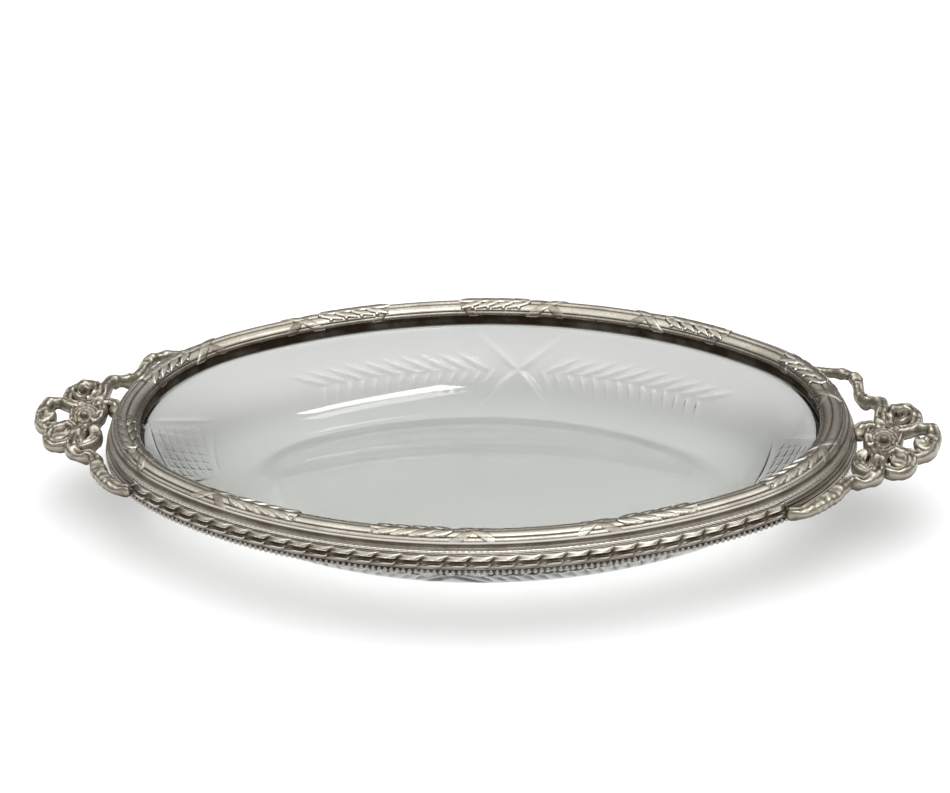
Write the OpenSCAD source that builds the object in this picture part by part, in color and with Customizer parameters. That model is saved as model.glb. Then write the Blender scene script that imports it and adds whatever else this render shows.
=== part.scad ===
// Oval dresser tray: a cut-glass dish in a silver-plated brass mount with two ribbon-bow handles.
// Frame: origin on the table under the middle of the dish, +X along the length, +Z up, millimetres.

/* [Oval] */
// Half length of the seat line, the oval that every ring is set out from
seat_a = 128; // [120:1:134]
// Half width of the seat line
seat_b = 88; // [86:1:90]
// Radius of the two end arcs of the seat line
end_r = 68; // [66:1:69]

/* [Glass dish] */
// Height of the glass rim above the table
glass_h = 31; // [30:0.1:32]
// Thickness of the floor
floor_t = 4.5; // [3.5:0.1:6]
// Width of the flat top of the rim
rim_w = 4.3; // [3.8:0.1:5]
// Half length of the flat floor, inside the dish
floor_a = 95; // [90:1:98]
// Half width of the flat floor, inside the dish
floor_b = 61.5; // [58:0.5:64]
// Distance that the wall bellies out from a straight slope
belly = 3; // [1:0.2:4]
// Depth of the hollow ground into the base, inside the foot ring
base_hollow = 0.6; // [0.3:0.1:1]
// Width of the foot ring that touches the table
foot_w = 7; // [5:0.5:9]

/* [Mount] */
// Thickness of the sheet that the mount is made of
sheet_t = 0.9; // [0.7:0.1:1.1]
// Number of reeds across the top moulding
reed_count = 5; // [3:1:7]
// Height of each reed
reed_h = 0.35; // [0.2:0.05:0.5]
// Number of ribbon ties round the top moulding
tie_count = 10; // [8:1:12]
// Length of one ribbon tie
tie_len = 42; // [34:1:50]
// Radius of the beaded wire
bead_r = 1.1; // [0.9:0.05:1.2]
// Thickness of the plaster bedding between the glass and the lip
bedding_t = 0.4; // [0.3:0.05:0.5]
// Depth of the bedding down the outer edge of the glass rim
bedding_drop = 2.2; // [1.6:0.1:2.6]

/* [Handles] */
// Distance from the middle of the tray to the tip of a bow
bow_tip = 171; // [168:0.5:174]
// Height of the middle of the bow above the table
bow_z = 28.5; // [28:0.5:30]
// Width of the ribbon
ribbon_w = 6; // [5:0.25:6.5]
// Thickness of the ribbon
ribbon_t = 4; // [3.5:0.25:4.5]
// Radius of the rosette on the knot
rosette_r = 4.6; // [4:0.1:5]

/* [Hidden] */
bow_pieces = [
    "knot", "rosette", "strut", "outer_loop", "front_loop", "back_loop", "front_tail", "back_tail"
];
$fn = 96;

glass_colour = [0.80, 0.86, 0.84, 0.45];
silver = [0.72, 0.70, 0.64];
bright_silver = [0.82, 0.80, 0.75];
plaster = [0.35, 0.33, 0.30];

// The seat line is a four-centred oval: end arcs about (+-end_cx, 0) and side arcs about (0, -+side_cy).
end_cx = seat_a - end_r;
side_r = (end_cx * end_cx + seat_b * seat_b - end_r * end_r) / (2 * (seat_b - end_r));
side_cy = side_r - seat_b;
joint_angle = atan2(side_cy, end_cx);
end_span = 2 * joint_angle;
side_span = 180 - end_span;

// Each arc is [centre, radius, first angle, span], anticlockwise from the left end of the front side.
arcs = [
    [[0, side_cy], side_r, 270 - side_span / 2, side_span],
    [[end_cx, 0], end_r, -joint_angle, end_span],
    [[0, -side_cy], side_r, joint_angle, side_span],
    [[-end_cx, 0], end_r, 180 - joint_angle, end_span]
];
arc_count = len(arcs);

// Stations are lengths along the crest of the moulding, from the start of the first arc.
crest_d = 3.7;
function arc_len(k) = (arcs[k % arc_count][1] + crest_d) * arcs[k % arc_count][3] * PI / 180;
function arc_start(k) = k == 0 ? 0 : arc_start(k - 1) + arc_len(k - 1);
perimeter = arc_start(arc_count);
function arc_of(s) = len([for (k = [1:arc_count - 1]) if (s % perimeter >= arc_start(k)) k]);
function angle_of(s) =
    let (k = arc_of(s), a = arcs[k])
    a[2] + (s % perimeter - arc_start(k)) * a[3] / arc_len(k);
function oval_point(s, d) =
    let (a = arcs[arc_of(s)], angle = angle_of(s))
    a[0] + (a[1] + d) * [cos(angle), sin(angle)];

// Heights and distances outward from the seat line of the mount's section.
rim_outer = 1.2;
lip_z = glass_h + bedding_t;
lip_t = 0.8;
crown_z = glass_h + 3.9;
crown_a = 5.2;
crown_b = 3.5;
leg_z = 35.2;
wall_in = 8;
wall_out = wall_in + sheet_t;
band_top = 33;
band_foot = 27.95;
band_out = 11.4;
milled_r = 0.55;
milled_z = 33.8;
bead_d = band_out - 0.6;
bead_z = band_foot - 1;
tie_lift = 0.55;

// A tall wedge over one arc, from its centre out past its two ends. Neighbouring wedges share a plane.
module arc_wedge(a) {
    ends = [a[2], a[2] + a[3]];
    translate([0, 0, -glass_h]) linear_extrude(3 * glass_h)
        polygon(concat([a[0]], [for (e = ends) a[0] + 3 * a[1] * [cos(e), sin(e)]]));
}

// Sweeps a section (x outward from the seat line, y up) round the arcs from number first to number last.
module oval_arcs(first = 0, last = arc_count - 1) {
    for (k = [first:last]) {
        a = arcs[k % arc_count];
        intersection() {
            translate(a[0]) rotate_extrude() translate([a[1], 0]) children();
            arc_wedge(a);
        }
    }
}

// Sweeps a section along the oval from station s1 to station s2, which may run past the perimeter.
module oval_run(s1, s2) {
    reach = 18;
    steps = 6;
    stations = [for (i = [0:steps]) s1 + (s2 - s1) * i / steps];
    first = arc_of(s1);
    last = arc_of(s2) + (floor(s2 / perimeter) > floor(s1 / perimeter) ? arc_count : 0);
    intersection() {
        oval_arcs(first, last) children();
        linear_extrude(2 * glass_h) polygon(concat(
            [for (i = [0:steps]) oval_point(stations[i], reach)],
            [for (i = [steps:-1:0]) oval_point(stations[i], -reach)]
        ));
    }
}

// Places its children at a station on the seat line, with +X outward.
module at_station(s) {
    a = arcs[arc_of(s)];
    translate(a[0]) rotate(angle_of(s)) translate([a[1], 0]) children();
}

// Outline of an oval of half length a and half width b, of the same family as the seat line.
function oval_outline(a, b, steps = 20) =
    let (
        r = end_r * b / seat_b,
        cx = a - r,
        big_r = (cx * cx + b * b - r * r) / (2 * (b - r)),
        cy = big_r - b,
        joint = atan2(cy, cx),
        parts = [
            [[0, cy], big_r, joint - 180, 180 - 2 * joint], [[cx, 0], r, -joint, 2 * joint],
            [[0, -cy], big_r, joint, 180 - 2 * joint], [[-cx, 0], r, 180 - joint, 2 * joint]
        ]
    )
    [for (p = parts, i = [0:steps - 1])
        let (angle = p[2] + p[3] * i / steps) p[0] + p[1] * [cos(angle), sin(angle)]
    ];

// A polyhedron through outlines that all have n points, joined round in a closed chain.
module closed_chain(outlines, heights) {
    n = len(outlines[0]);
    m = len(outlines);
    polyhedron(
        points = [for (i = [0:m - 1], p = outlines[i]) [p[0], p[1], heights[i]]],
        faces = [for (i = [0:m - 1], j = [0:n - 1])
            let (p = i * n, q = ((i + 1) % m) * n, k = (j + 1) % n)
            each [[p + j, q + j, q + k], [p + j, q + k, p + k]]
        ],
        convexity = 6
    );
}

// A bowed line of n steps from p to q, whose middle stands off by sag on its right-hand side.
function bowed(p, q, sag, n) =
    let (along = q - p, out = [along[1], -along[0]] / norm(along))
    [for (i = [0:n]) let (t = i / n) p + t * along + 4 * t * (1 - t) * sag * out];

// ---- glass dish ----
// The wall is set out as [half length, half width, height] levels, because it flares more at the ends.
wall_steps = 8;
foot_a = floor_a + 2.5;
foot_b = floor_b + 2.5;
function level(out, z) = [seat_a + out, seat_b + out, z];
function bellied(p, q) = [for (i = [0:wall_steps])
    let (t = i / wall_steps, s = 4 * t * (1 - t) * belly * 0.7) p + t * (q - p) + [s, s, -s]
];
outer_wall = bellied([foot_a, foot_b, 1], level(rim_outer, glass_h - 2.4));
inner_wall = bellied([floor_a, floor_b, floor_t - 0.6], level(rim_outer - rim_w, glass_h - 0.6));

module oval_slab(a, b, z1, z2) {
    translate([0, 0, z1]) linear_extrude(z2 - z1) polygon(oval_outline(a, b));
}

module glass_dish() {
    foot_top = 1.4;
    levels = concat(
        [[foot_a - 6, foot_b - 6, 2.4], [foot_a - 6, foot_b - 6, 0.4], [foot_a - 0.4, foot_b - 0.4, 0.4]],
        outer_wall,
        [level(rim_outer, glass_h - 0.4), level(rim_outer - 0.4, glass_h), level(rim_outer - rim_w + 0.5, glass_h)],
        [for (i = [wall_steps:-1:0]) inner_wall[i]]
    );
    color(glass_colour) union() {
        closed_chain([for (p = levels) oval_outline(p[0], p[1])], [for (p = levels) p[2]]);
        oval_slab(floor_a + 1.5, floor_b + 1.5, base_hollow, floor_t);
        difference() {
            oval_slab(foot_a - 0.8, foot_b - 0.8, 0, foot_top);
            oval_slab(foot_a - foot_w, foot_b - foot_w, -1, foot_top + 1);
        }
    }
}

// The bedding holds the dish in the mount: it lies on the rim, under the lip, and round the rim's edge.
bedding_in = 1.3;
module rim_bedding() {
    skirt_in = rim_outer + 0.1;
    skirt_out = rim_outer + 1;
    color(plaster) oval_arcs() polygon([
        [-bedding_in, glass_h], [skirt_in, glass_h], [skirt_in, glass_h - bedding_drop],
        [skirt_out, glass_h - bedding_drop], [skirt_out, lip_z], [-bedding_in, lip_z]
    ]);
}

// ---- mount ----
// The crown of the moulding: an arched line with a half-wave for each reed.
crown_from = 180;
crown_to = 8;
points_per_reed = 6;
function crown_point(phi, lift) =
    let (n = [cos(phi) / crown_a, sin(phi) / crown_b])
    [crest_d + crown_a * cos(phi), crown_z + crown_b * sin(phi)] + lift * n / norm(n);
function crown(lift, ripple) = [
    for (i = [0:reed_count * points_per_reed])
        let (t = i / (reed_count * points_per_reed))
        crown_point(
            crown_from + (crown_to - crown_from) * t,
            lift + ripple * abs(sin(180 * t * reed_count))
        )
];

module moulding_section() {
    inside = crown(-sheet_t, 0);
    last = len(inside) - 1;
    polygon(concat(
        [[crest_d - crown_a, lip_z]],
        crown(0, reed_h),
        [[wall_out + 0.1, leg_z], [wall_in - 0.2, leg_z]],
        [for (i = [last:-2:0]) inside[i]],
        [[crest_d - crown_a + sheet_t, lip_z + lip_t], [rim_outer, lip_z + lip_t], [rim_outer, lip_z]]
    ));
}

module rim_moulding() {
    color(silver) oval_arcs() moulding_section();
}

// A ribbon tie wraps the crown of the moulding. The first lies at the middle of the front.
tie_wrap = 0.15;
tie_trim = 3;
module tie_section() {
    outside = crown(tie_lift + reed_h, 0);
    inside = crown(reed_h + tie_wrap, 0);
    last = len(inside) - 1;
    polygon(concat(
        [for (i = [tie_trim:2:last - 1]) outside[i]],
        [for (i = [last - 1:-2:tie_trim]) inside[i]]
    ));
}

front_middle = arc_len(0) / 2;
module ribbon_tie(i) {
    s = front_middle + (i - 1) * perimeter / tie_count;
    color(bright_silver) oval_run(s - tie_len / 2, s + tie_len / 2) tie_section();
}

module frame_wall() {
    color(silver) oval_arcs()
        translate([wall_in, band_foot]) square([sheet_t, leg_z - band_foot]);
}

module milled_wire() {
    color(bright_silver) oval_arcs() intersection() {
        translate([wall_out + 0.25, milled_z]) circle(milled_r);
        translate([wall_out, milled_z - milled_r]) square(2 * milled_r);
    }
}

// The cabled band runs along the front and the back, between the handles. A plain band closes each end.
band_overrun = 8;
band_gap = 0.2;
module band_section(plain) {
    front = plain
        ? [[band_out, band_foot + 1], [band_out - 0.8, band_foot + 1.4], [wall_out + 1.2, band_top]]
        : bowed([band_out, band_foot + 0.7], [wall_out + 0.7, band_top], 0.55, 6);
    last = len(front) - 1;
    back = [for (i = [last:-1:0]) front[i] - sheet_t * [0.85, 0.5]];
    polygon(concat(
        [[wall_out, band_foot], [band_out, band_foot]],
        front,
        [[wall_out, band_top + 0.2], [wall_out, band_top - sheet_t]],
        [for (p = back) if (p[0] > wall_out + 0.2 && p[1] > band_foot + sheet_t) p],
        [[band_out - sheet_t, band_foot + sheet_t], [wall_out, band_foot + sheet_t]]
    ));
}

module cable_band(k) {
    s = arc_start(k) + perimeter;
    color(bright_silver) oval_run(s - band_overrun, s + arc_len(k) + band_overrun) band_section(false);
}

module end_band(k) {
    s = arc_start(k) + band_overrun + band_gap;
    color(silver) oval_run(s, arc_start(k + 1) - band_overrun - band_gap) band_section(true);
}

module bead_wire() {
    color(bright_silver) oval_arcs() intersection() {
        translate([bead_d, bead_z]) circle(bead_r);
        translate([bead_d - bead_r, bead_z - bead_r]) square([2 * bead_r, bead_r + band_foot - bead_z]);
    }
}

// ---- handles ----
function bezier(p, t) =
    let (u = 1 - t)
    u * u * u * p[0] + 3 * u * u * t * p[1] + 3 * u * t * t * p[2] + t * t * t * p[3];
function bezier_path(p, n) = [for (i = [0:n]) bezier(p, i / n)];
function loop_path(centre, rx, ry, turn, n) = [
    for (i = [0:n - 1])
        let (a = 360 * i / n, x = rx * cos(a), y = ry * sin(a))
        centre + [x * cos(turn) - y * sin(turn), x * sin(turn) + y * cos(turn), 0]
];

// A ribbon of oval section swept along a path, its width rippling as a folded ribbon's does.
ribbon_sides = 10;
module ribbon(path, closed = false, w = ribbon_w, t = ribbon_t, ripples = 2) {
    n = len(path);
    ring = [for (i = [0:n - 1])
        let (
            before = path[closed ? (i + n - 1) % n : max(i - 1, 0)],
            after = path[closed ? (i + 1) % n : min(i + 1, n - 1)],
            side = cross([0, 0, 1], after - before),
            out = side / norm(side),
            swell = 1 + 0.1 * sin(360 * ripples * i / n)
        )
        for (j = [0:ribbon_sides - 1])
            let (a = 360 * j / ribbon_sides)
            path[i] + out * w / 2 * swell * cos(a) + [0, 0, 1] * t / 2 * swell * sin(a)
    ];
    steps = closed ? n : n - 1;
    walls = [for (i = [0:steps - 1], j = [0:ribbon_sides - 1])
        let (p = i * ribbon_sides, q = ((i + 1) % n) * ribbon_sides, k = (j + 1) % ribbon_sides)
        [p + j, p + k, q + k, q + j]
    ];
    ends = closed ? [] : [
        [for (j = [ribbon_sides - 1:-1:0]) j],
        [for (j = [0:ribbon_sides - 1]) (n - 1) * ribbon_sides + j]
    ];
    polyhedron(points = ring, faces = concat(walls, ends), convexity = 6);
}

// The wall that the tails and the strut end on, seen from the end of the tray.
tail_gap = 0.4;
tail_r = end_r + band_out + tail_gap;
function on_wall(angle, out, dz) = [
    end_cx + (tail_r + out) * cos(angle), (tail_r + out) * sin(angle), bow_z + dz
];

// The pieces of one bow, drawn for the right-hand end. m is 1 for the back of the tray and -1 for the front.
knot_x = 150;
knot_radii = [6, 8.6, 4.2];
function from_knot(x, y, z = 0) = [knot_x + x, y, bow_z + z];

module knot() {
    translate(from_knot(0, 0)) scale(knot_radii / knot_radii[2]) sphere(knot_radii[2]);
}

module rosette() {
    petal_count = 8;
    translate(from_knot(0, 0, knot_radii[2] - 0.3)) {
        cylinder(r1 = rosette_r, r2 = rosette_r - 0.8, h = 0.9);
        for (i = [0:petal_count - 1])
            rotate(i * 360 / petal_count) translate([rosette_r * 0.6, 0, 0.8]) sphere(1.1);
        translate([0, 0, 0.5]) sphere(1.5);
    }
}

// The strut is a short peg that joins the knot to the band at the end of the oval.
module strut() {
    from = seat_a + band_out + 0.1;
    translate([from, 0, bow_z + 0.8]) rotate([0, 90, 0])
        cylinder(r = 1.6, h = knot_x - knot_radii[0] + 0.1 - from);
}

module outer_loop() {
    reach = (8 * (bow_tip - ribbon_w / 2 - knot_x) - 10) / 6;
    ribbon(bezier_path([
        from_knot(5, 3.4), from_knot(reach, 13), from_knot(reach, -13), from_knot(5, -3.4)
    ], 26), w = ribbon_w * 0.85);
}

module side_loop(m) {
    ribbon(loop_path(from_knot(6.3, m * 13.9, -0.5), 4.9, 4.4, m * 20, 20), closed = true, w = ribbon_w * 0.7);
}

module tail(m) {
    ribbon(concat(
        bezier_path([
            from_knot(-1.8, m * 8.4), from_knot(-3.5, m * 20), on_wall(m * 26, 5, -1), on_wall(m * 37, 2.6, -1.5)
        ], 20),
        [for (i = [1:5]) on_wall(m * (37 + i * 1.8), 2.6 - 0.06 * i, -1.5)]
    ), w = ribbon_w * 0.8);
}

module handed(side) {
    color(bright_silver) mirror([side == "left" ? 1 : 0, 0, 0]) children();
}

glass_dish();
rim_bedding();
rim_moulding();
frame_wall();
milled_wire();
bead_wire();
cable_band(0);  // front_cable_band
cable_band(2);  // back_cable_band
end_band(3);  // left_end_band
end_band(1);  // right_end_band
for (i = [1:tie_count])
    ribbon_tie(i);
for (side = ["left", "right"]) {
    handed(side) knot();
    handed(side) rosette();
    handed(side) strut();
    handed(side) outer_loop();
    handed(side) side_loop(-1);
    handed(side) side_loop(1);
    handed(side) tail(-1);
    handed(side) tail(1);
}
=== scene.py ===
"""An oval dresser tray: a cut-glass dish in an aged silver mount with two ribbon-bow handles."""
import math

import bmesh
import bpy
import numpy as np
from mathutils import Matrix, Vector


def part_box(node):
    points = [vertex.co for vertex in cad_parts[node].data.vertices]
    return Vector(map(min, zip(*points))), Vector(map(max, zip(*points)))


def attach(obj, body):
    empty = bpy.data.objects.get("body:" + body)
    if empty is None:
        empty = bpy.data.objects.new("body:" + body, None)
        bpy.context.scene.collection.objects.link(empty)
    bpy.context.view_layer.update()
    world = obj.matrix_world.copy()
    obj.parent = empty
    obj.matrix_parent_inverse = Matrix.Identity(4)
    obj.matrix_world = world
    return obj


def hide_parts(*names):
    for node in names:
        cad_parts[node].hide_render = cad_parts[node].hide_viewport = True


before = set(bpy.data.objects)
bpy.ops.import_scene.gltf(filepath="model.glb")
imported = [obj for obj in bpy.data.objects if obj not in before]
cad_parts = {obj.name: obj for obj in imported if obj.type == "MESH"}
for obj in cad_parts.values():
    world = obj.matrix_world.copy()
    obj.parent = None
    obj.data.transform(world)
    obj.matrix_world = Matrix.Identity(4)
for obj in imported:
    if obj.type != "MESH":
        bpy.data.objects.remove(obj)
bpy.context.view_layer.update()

# ---- driving sizes, in millimetres, taken from the frame where a node holds them ----
# The seat line runs inside the edge of the glass, which reaches RIM_OUTER past it.
MM = 0.001
RIM_OUTER = 1.2
SEAT_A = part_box("glass_dish")[1].x / MM - RIM_OUTER
SEAT_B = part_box("glass_dish")[1].y / MM - RIM_OUTER
GLASS_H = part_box("glass_dish")[1].z / MM
END_R = 68.0
BAND_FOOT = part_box("front_cable_band")[0].z / MM
BOW_Z = 28.5

# The seat line is a four-centred oval. An arc is centre x, centre y, radius, first angle, span.
# Stations run along the crest of the moulding, CREST_D outside the seat line.
END_CX = SEAT_A - END_R
SIDE_R = (END_CX**2 + SEAT_B**2 - END_R**2) / (2 * (SEAT_B - END_R))
SIDE_CY = SIDE_R - SEAT_B
JOINT = math.atan2(SIDE_CY, END_CX)
CREST_D = 3.7
ARCS = np.array([
    [0, SIDE_CY, SIDE_R, JOINT - math.pi, math.pi - 2 * JOINT],
    [END_CX, 0, END_R, -JOINT, 2 * JOINT],
    [0, -SIDE_CY, SIDE_R, JOINT, math.pi - 2 * JOINT],
    [-END_CX, 0, END_R, math.pi - JOINT, 2 * JOINT],
])
ARC_LEN = (ARCS[:, 2] + CREST_D) * ARCS[:, 4]
ARC_END = np.cumsum(ARC_LEN)
PERIMETER = float(ARC_END[-1])
FRONT_MIDDLE = float(ARC_LEN[0]) / 2
RIGHT_END = float(ARC_END[0] + ARC_LEN[1] / 2)
BACK_MIDDLE = FRONT_MIDDLE + PERIMETER / 2
LEFT_END = RIGHT_END + PERIMETER / 2


# ---- number helpers ----
def circle(count):
    """Even angles once round a circle."""
    return np.arange(count) / count * 2 * math.pi


def stations(count):
    """Even stations once round the oval."""
    return np.arange(count) / count * PERIMETER


def ease(x, low, high):
    """0 below low, 1 above high and a smooth rise between."""
    t = np.clip((x - low) / (high - low), 0, 1)
    return t * t * (3 - 2 * t)


def wobble(x, seed, *waves):
    """A smooth irregular curve about 0, from a few sine waves of the given lengths."""
    phases = np.random.default_rng(seed).uniform(0, 2 * math.pi, len(waves))
    return sum(np.sin(2 * math.pi * x / w + p) for w, p in zip(waves, phases)) / len(waves)


def spline(points, per_piece):
    """A Catmull-Rom curve through the points, with per_piece steps between neighbours."""
    p = np.asarray(points, float)
    p = np.vstack([2 * p[0] - p[1], p, 2 * p[-1] - p[-2]])
    t = (np.arange(per_piece) / per_piece)[:, None]
    parts = [
        0.5 * (2 * b + (c - a) * t + (2 * a - 5 * b + 4 * c - d) * t**2 + (3 * b - a - 3 * c + d) * t**3)
        for a, b, c, d in zip(p[:-3], p[1:-2], p[2:-1], p[3:])
    ]
    return np.vstack([*parts, p[-2:-1]])


def closed_spline(points, per_piece):
    """The same curve round a closed ring of points."""
    p = np.asarray(points, float)
    n = len(p)
    ring = np.vstack([p[-2:], p, p[:3]])
    return spline(ring, per_piece)[2 * per_piece : (n + 2) * per_piece]


def stroke(s, w, start, end):
    """How far along the line from start to end each point (s, w) is, from 0 to 1, and how far off it."""
    line = np.subtract(end, start)
    length = math.hypot(*line)
    along = ((s - start[0]) * line[0] + (w - start[1]) * line[1]) / length**2
    off = ((w - start[1]) * line[0] - (s - start[0]) * line[1]) / length
    return along, off


# ---- the oval ----
def on_arcs(s):
    """The arc that each station lies on, and the angle there."""
    s = np.mod(s, PERIMETER)
    k = np.minimum(np.searchsorted(ARC_END, s, side="right"), 3)
    part = (s - (ARC_END - ARC_LEN)[k]) / ARC_LEN[k]
    return k, ARCS[k, 3] + part * ARCS[k, 4]


def place(s, d, z):
    """Points at stations s, d outward from the seat line and z up. Rows of d and z match s."""
    k, angle = on_arcs(s)
    d, z = np.broadcast_arrays(np.atleast_1d(d).astype(float), np.atleast_1d(z).astype(float))
    if d.ndim == 1:
        d, z = np.tile(d, (len(s), 1)), np.tile(z, (len(s), 1))
    reach = ARCS[k, 2][:, None] + d
    x = ARCS[k, 0][:, None] + reach * np.cos(angle)[:, None]
    y = ARCS[k, 1][:, None] + reach * np.sin(angle)[:, None]
    return np.stack([x, y, z], axis=2)


def oval_at(s, a, b):
    """Points at stations s on the ovals of half length a and half width b, one column an oval."""
    k, angle = on_arcs(s)
    r = END_R * b / SEAT_B
    cx = a - r
    big_r = (cx**2 + b**2 - r**2) / (2 * (b - r))
    cy = big_r - b
    joint = np.arctan2(cy, cx)
    side = np.isin(k, (0, 2))[:, None]
    facing = np.where(k == 0, 1, np.where(k == 2, -1, 0))[:, None]
    ending = np.where(k == 1, 1, np.where(k == 3, -1, 0))[:, None]
    part = ((angle - ARCS[k, 3]) / ARCS[k, 4])[:, None]
    first = np.select([k[:, None] == 0, k[:, None] == 1, k[:, None] == 2],
                      [joint - math.pi, -joint, joint], math.pi - joint)
    span = np.where(side, math.pi - 2 * joint, 2 * joint)
    turn = first + part * span
    radius = np.where(side, big_r, r)
    return np.stack([ending * cx + radius * np.cos(turn), facing * cy + radius * np.sin(turn)], axis=2)


def offset(d, z, lift):
    """A section curve moved along its own left-hand normal by lift, which may have a row a station."""
    td, tz = np.gradient(d), np.gradient(z)
    size = np.hypot(td, tz)
    return d - lift * tz / size, z + lift * td / size


# ---- meshes ----
def grid_faces(rows, columns, wrap_rows, wrap_columns):
    """The four-sided faces of a grid of vertices, numbered row by row."""
    r = np.arange(rows if wrap_rows else rows - 1)
    c = np.arange(columns if wrap_columns else columns - 1)
    r, c = (x.ravel() for x in np.meshgrid(r, c, indexing="ij"))
    r2, c2 = (r + 1) % rows, (c + 1) % columns
    return np.column_stack([r * columns + c, r2 * columns + c, r2 * columns + c2, r * columns + c2]).tolist()


def swept(points, closed):
    """Vertices and faces of a closed section swept along rows of points; an open sweep gets end caps."""
    rows, columns = points.shape[:2]
    faces = grid_faces(rows, columns, closed, True)
    if not closed:
        faces += [list(range(columns)), [(rows - 1) * columns + j for j in range(columns)]]
    return points.reshape(-1, 3), faces


def joined(parts):
    """One list of vertices and faces from several."""
    verts, faces, count = [], [], 0
    for v, f in parts:
        verts.append(v)
        faces += [[i + count for i in face] for face in f]
        count += len(v)
    return np.vstack(verts), faces


# A vertex that stands this far proud is well rubbed.
WEAR_DEPTH = 0.12


def mark_wear(mesh, rounds):
    """Stores how proud each vertex stands of those around it: 0.5 on a flat, 1 on an edge, 0 in a recess."""
    n = len(mesh.vertices)
    co, normal = np.empty(n * 3), np.empty(n * 3)
    mesh.vertices.foreach_get("co", co)
    mesh.vertices.foreach_get("normal", normal)
    co, normal = co.reshape(-1, 3), normal.reshape(-1, 3)
    ends = np.empty(len(mesh.edges) * 2, int)
    mesh.edges.foreach_get("vertices", ends)
    a, b = np.concatenate([ends[::2], ends[1::2]]), np.concatenate([ends[1::2], ends[::2]])
    count = np.maximum(np.bincount(a, minlength=n), 1)[:, None]
    smooth = co
    for _ in range(rounds):
        total = [np.bincount(a, weights=smooth[b, i], minlength=n) for i in range(3)]
        smooth = np.column_stack(total) / count
    proud = ((co - smooth) * normal).sum(axis=1) / (WEAR_DEPTH * MM)
    wear = mesh.attributes.new("wear", "FLOAT", "POINT")
    wear.data.foreach_set("value", 0.5 + 0.5 * np.tanh(proud))


def make_piece(name, shape, material, nodes, crease=38, wear_rounds=10, soil_and_shade=None, under=0.0):
    """A finished piece that stands for these CAD nodes.

    soil_and_shade is the tarnish and painted shade at each vertex, and under is the least painted shade on
    faces that look down.
    """
    verts, faces = shape
    mesh = bpy.data.meshes.new(name)
    mesh.from_pydata((np.asarray(verts) * MM).tolist(), [], faces)
    bm = bmesh.new()
    bm.from_mesh(mesh)
    bmesh.ops.recalc_face_normals(bm, faces=bm.faces)
    bm.to_mesh(mesh)
    bm.free()
    mesh.shade_smooth()
    mesh.set_sharp_from_angle(angle=math.radians(crease))
    if wear_rounds:
        mark_wear(mesh, wear_rounds)
    # Faces that look down get painted shade, at least under.
    if under:
        normal = np.empty(len(mesh.vertices) * 3)
        mesh.vertices.foreach_get("normal", normal)
        shaded = under * ease(-normal[2::3], -0.1, 0.5)
        soil_and_shade = shaded if soil_and_shade is None else np.maximum(np.ravel(soil_and_shade), shaded)
    if soil_and_shade is not None:
        mesh.attributes.new("soil_and_shade", "FLOAT", "POINT").data.foreach_set("value", np.ravel(soil_and_shade))
    mesh.materials.append(material)
    piece = bpy.data.objects.new(name, mesh)
    bpy.context.scene.collection.objects.link(piece)
    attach(piece, "root")
    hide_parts(*nodes)
    return piece


# ---- materials ----
def node_material(name):
    """A new material, with its nodes, its links and its Principled shader."""
    material = bpy.data.materials.new(name)
    material.use_nodes = True
    nodes, links = material.node_tree.nodes, material.node_tree.links
    shader = nodes["Principled BSDF"]
    return material, nodes, links, shader


def noise(nodes, links, scale, detail=4.0, stretch=None):
    """A noise texture in the object's own space, scale in waves a metre."""
    coordinates = nodes.new("ShaderNodeTexCoord")
    texture = nodes.new("ShaderNodeTexNoise")
    texture.inputs["Scale"].default_value = scale
    texture.inputs["Detail"].default_value = detail
    source = coordinates.outputs["Object"]
    if stretch:
        mapping = nodes.new("ShaderNodeMapping")
        mapping.inputs["Scale"].default_value = stretch
        links.new(source, mapping.inputs["Vector"])
        source = mapping.outputs["Vector"]
    links.new(source, texture.inputs["Vector"])
    return texture.outputs["Fac"]


def ramp(nodes, links, source, *stops):
    """A colour ramp through (position, colour or grey) stops."""
    node = nodes.new("ShaderNodeValToRGB")
    elements = node.color_ramp.elements
    while len(elements) < len(stops):
        elements.new(0.5)
    for element, (position, colour) in zip(elements, stops):
        element.position = position
        grey = isinstance(colour, (int, float))
        element.color = (colour, colour, colour, 1) if grey else (*colour, 1)
    links.new(source, node.inputs["Fac"])
    return node.outputs["Color"]


def mix(nodes, links, factor, a, b, blend="MIX"):
    """Mixes two colours, each a socket or a colour, by a socket or a number."""
    node = nodes.new("ShaderNodeMix")
    node.data_type = "RGBA"
    node.blend_type = blend
    for value, socket in ((factor, node.inputs[0]), (a, node.inputs[6]), (b, node.inputs[7])):
        if isinstance(value, bpy.types.NodeSocket):
            links.new(value, socket)
        elif isinstance(value, tuple):
            socket.default_value = (*value, 1)
        else:
            socket.default_value = value
    return node.outputs[2]


def maths(nodes, links, operation, a, b):
    """A math node on a and b, each a socket or a number."""
    node = nodes.new("ShaderNodeMath")
    node.operation = operation
    for value, socket in ((a, node.inputs[0]), (b, node.inputs[1])):
        if isinstance(value, bpy.types.NodeSocket):
            links.new(value, socket)
        else:
            socket.default_value = value
    return node.outputs[0]


def bump(nodes, links, shader, height, distance, strength):
    """Gives the shader a fine relief from a height socket."""
    node = nodes.new("ShaderNodeBump")
    node.inputs["Strength"].default_value = strength
    node.inputs["Distance"].default_value = distance
    links.new(height, node.inputs["Height"])
    links.new(node.outputs["Normal"], shader.inputs["Normal"])


# The brown of tarnish, also used for painted shade.
BROWN = (0.075, 0.050, 0.033)


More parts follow.
